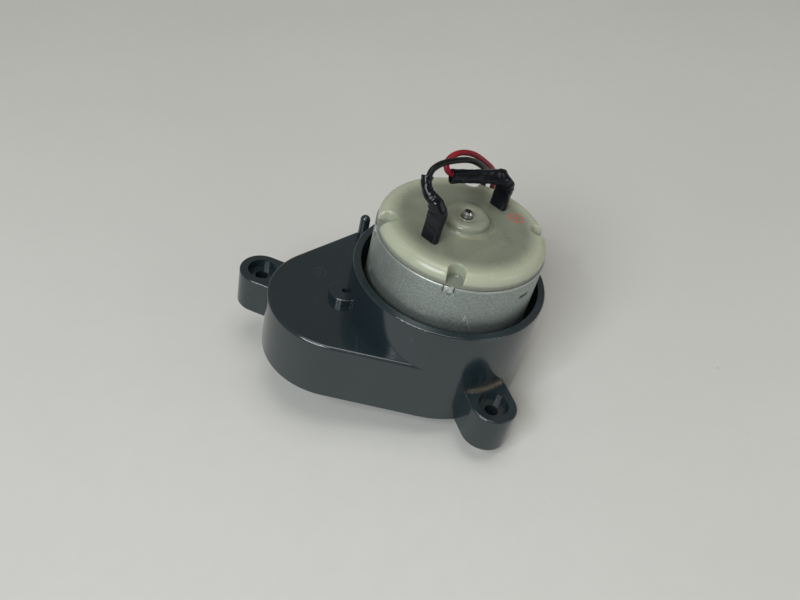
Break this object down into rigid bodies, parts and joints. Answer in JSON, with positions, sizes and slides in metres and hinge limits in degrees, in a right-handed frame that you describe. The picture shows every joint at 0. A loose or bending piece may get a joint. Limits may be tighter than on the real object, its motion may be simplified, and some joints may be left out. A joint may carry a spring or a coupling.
{
  "type": "electric motor",
  "caption": "Flat brushed DC motor on an offset reduction gearbox, with mounting ears, a D-shaped output shaft and two sleeved leads to a plug.",
  "frame": {"origin": "on the output shaft's axis, at the shoulder where the shaft leaves the housing's mounting plane", "axes": "+Z along the output shaft, from its free end towards the motor; +X from the output shaft to the motor's axis"},
  "size_m": [0.0581, 0.0762, 0.0527],
  "materials": {
    "housing": "injection-moulded ABS, dark slate grey, semi-gloss with fine scuffs",
    "cover": "moulded ABS, dark slate grey, satin",
    "can_steel": "zinc-plated deep-drawn steel, dull and lightly mottled",
    "end_cap": "natural nylon, milky greenish white",
    "steel": "ground steel",
    "screw_steel": "zinc-plated steel",
    "bronze": "oil-filled sintered bronze",
    "magnet": "ferrite, matt black",
    "copper": "enamelled copper wire",
    "brass": "rolled brass",
    "carbon": "pressed carbon",
    "gear_plastic": "acetal, natural white, greased",
    "sleeve": "black shrink sleeve, wrinkled, slight sheen",
    "red_wire": "PVC insulation, dark red",
    "black_wire": "PVC insulation, black",
    "plug": "natural nylon",
    "hub_plastic": "phenolic, brown"
  },
  "bodies": {
    "housing": {"gear_case": "housing", "bottom_cover": "cover", "cover_screws": "screw_steel", "motor_screws": "screw_steel", "lower_bush": "bronze", "upper_bush": "bronze", "first_axle": "steel", "second_axle": "steel", "motor_can": "can_steel", "motor_end_cap": "end_cap", "field_magnets": "magnet", "magnet_clip": "steel", "front_bearing": "bronze", "rear_bearing": "bronze", "brushes": "carbon", "brush_arms": "brass", "terminals": "brass", "negative_sleeve": "sleeve", "positive_sleeve": "sleeve", "negative_lead": "black_wire", "positive_lead": "red_wire", "plug_housing": "plug", "plug_contacts": "brass"},
    "rotor": {"motor_shaft": "steel", "rotor_core": "screw_steel", "rotor_windings": "copper", "commutator_hub": "hub_plastic", "commutator_segments": "copper", "thrust_washers": "hub_plastic", "motor_pinion": "brass"},
    "first_gear": {"first_gear": "gear_plastic"},
    "second_gear": {"second_gear": "gear_plastic"},
    "output": {"output_gear": "gear_plastic", "output_shaft": "steel", "output_washer": "steel"}
  },
  "joints": [
    {"name": "motor_spin", "type": "hinge", "parent": "housing", "child": "rotor", "pos_m": [0.0192, 0, 0], "axis": [0, 0, 1], "continuous": true},
    {"name": "first_gear_spin", "type": "hinge", "parent": "housing", "child": "first_gear", "pos_m": [0.0192, 0.0148, 0], "axis": [0, 0, 1], "continuous": true},
    {"name": "second_gear_spin", "type": "hinge", "parent": "housing", "child": "second_gear", "pos_m": [0.01486, 0.00201, 0], "axis": [0, 0, 1], "continuous": true},
    {"name": "output_spin", "type": "hinge", "parent": "housing", "child": "output", "pos_m": [0, 0, 0], "axis": [0, 0, 1], "continuous": true}
  ],
  "couplings": [
    {"joint": "first_gear_spin", "follows": "motor_spin", "ratio": -0.23333},
    {"joint": "second_gear_spin", "follows": "motor_spin", "ratio": 0.066667},
    {"joint": "output_spin", "follows": "motor_spin", "ratio": -0.021053}
  ]
}
